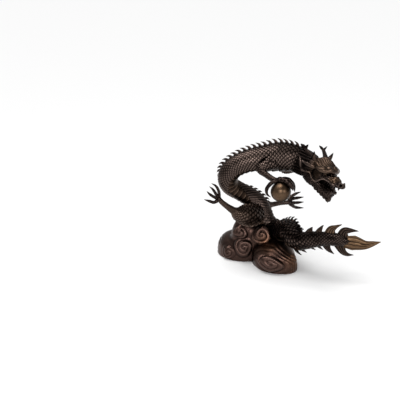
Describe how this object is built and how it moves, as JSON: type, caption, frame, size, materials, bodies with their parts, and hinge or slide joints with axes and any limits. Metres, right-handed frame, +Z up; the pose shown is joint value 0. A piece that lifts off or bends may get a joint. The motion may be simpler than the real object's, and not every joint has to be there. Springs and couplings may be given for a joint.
{
  "type": "dragon sculpture",
  "caption": "Cast dragon rearing in a coil over a plinth of rolled clouds, with a pearl held in its raised front claw and a flame-finned tail.",
  "frame": {"origin": "on the flat underside of the cloud plinth, near the middle of its footprint", "axes": "+Z up, -Y towards the side that the face turns to, +X towards the tip of the tail"},
  "size_m": [0.3404, 0.2499, 0.2724],
  "materials": {
    "dragon_bronze": "dark brown bronze patina, rubbed lighter on the scales and edges",
    "pearl_bronze": "smooth polished golden brown bronze",
    "plinth_bronze": "reddish brown bronze patina, glossier on the ribs of the scrolls"
  },
  "bodies": {
    "root": {"dragon": "dragon_bronze", "pearl": "pearl_bronze", "cloud_plinth": "plinth_bronze"}
  },
  "joints": []
}
